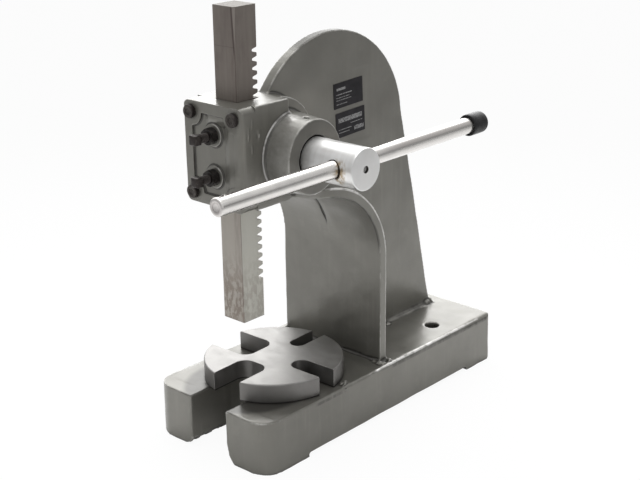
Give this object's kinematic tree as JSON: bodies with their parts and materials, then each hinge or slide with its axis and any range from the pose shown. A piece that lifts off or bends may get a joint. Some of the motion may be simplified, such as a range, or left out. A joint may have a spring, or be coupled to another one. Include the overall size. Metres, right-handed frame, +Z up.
{
  "type": "arbor press",
  "caption": "Bench arbor press with a cast C-frame, a toothed ram driven by a geared handle shaft, and a slotted work plate that turns.",
  "frame": {"origin": "on the bench plane, straight below the axis of the ram", "axes": "+Z up along the ram, -Y forward to the open ends of the base's arms, +X along the pinion shaft to the handle side"},
  "size_m": [0.187, 0.3991, 0.395],
  "materials": {
    "frame_enamel": "silver-grey enamel over cast iron",
    "cover_enamel": "silver-grey enamel over cast iron",
    "black_screw": "black oxide on steel",
    "black_adjuster": "oiled black oxide on steel",
    "black_nut": "oiled black oxide on steel",
    "gib_steel": "ground steel",
    "ram_steel": "milled steel with a brown oil film",
    "shaft_steel": "turned steel",
    "washer_steel": "turned steel",
    "rod_steel": "polished bar",
    "cap_rubber": "dull black rubber",
    "plate_steel": "machined iron, pale and satin",
    "pin_steel": "ground steel",
    "label_film": "thin dark film"
  },
  "bodies": {
    "frame": {"frame_casting": "frame_enamel", "cover_plate": "cover_enamel", "cover_screw_upper_left": "black_screw", "cover_screw_upper_right": "black_screw", "cover_screw_lower_left": "black_screw", "cover_screw_lower_right": "black_screw", "gib_strip": "gib_steel", "adjusting_screw_upper": "black_adjuster", "adjusting_screw_lower": "black_adjuster", "locknut_upper": "black_nut", "locknut_lower": "black_nut", "label_upper": "label_film", "label_lower": "label_film"},
    "pinion": {"pinion_shaft": "shaft_steel", "retaining_washer": "washer_steel", "retaining_screw": "black_screw"},
    "handle": {"handle_rod": "rod_steel", "handle_cap": "cap_rubber"},
    "ram": {"ram": "ram_steel"},
    "plate": {"work_plate": "plate_steel", "plate_pivot_pin": "pin_steel"}
  },
  "joints": [
    {"name": "pinion_turn", "type": "hinge", "parent": "frame", "child": "pinion", "pos_m": [0.06, 0.0299, 0.269], "axis": [1, 0, 0], "range_deg": [-306, 140]},
    {"name": "ram_slide", "type": "slide", "parent": "frame", "child": "ram", "axis": [0, 0, 1], "range_m": [-0.048, 0.105]},
    {"name": "handle_slide", "type": "slide", "parent": "pinion", "child": "handle", "axis": [0, 1, 0], "range_m": [-0.145, 0.12]},
    {"name": "plate_turn", "type": "hinge", "parent": "frame", "child": "plate", "pos_m": [0, 0.0355, 0.05], "axis": [0, 0, 1], "continuous": true}
  ],
  "couplings": [
    {"joint": "ram_slide", "follows": "pinion_turn", "m_per_rad": -0.0196}
  ]
}
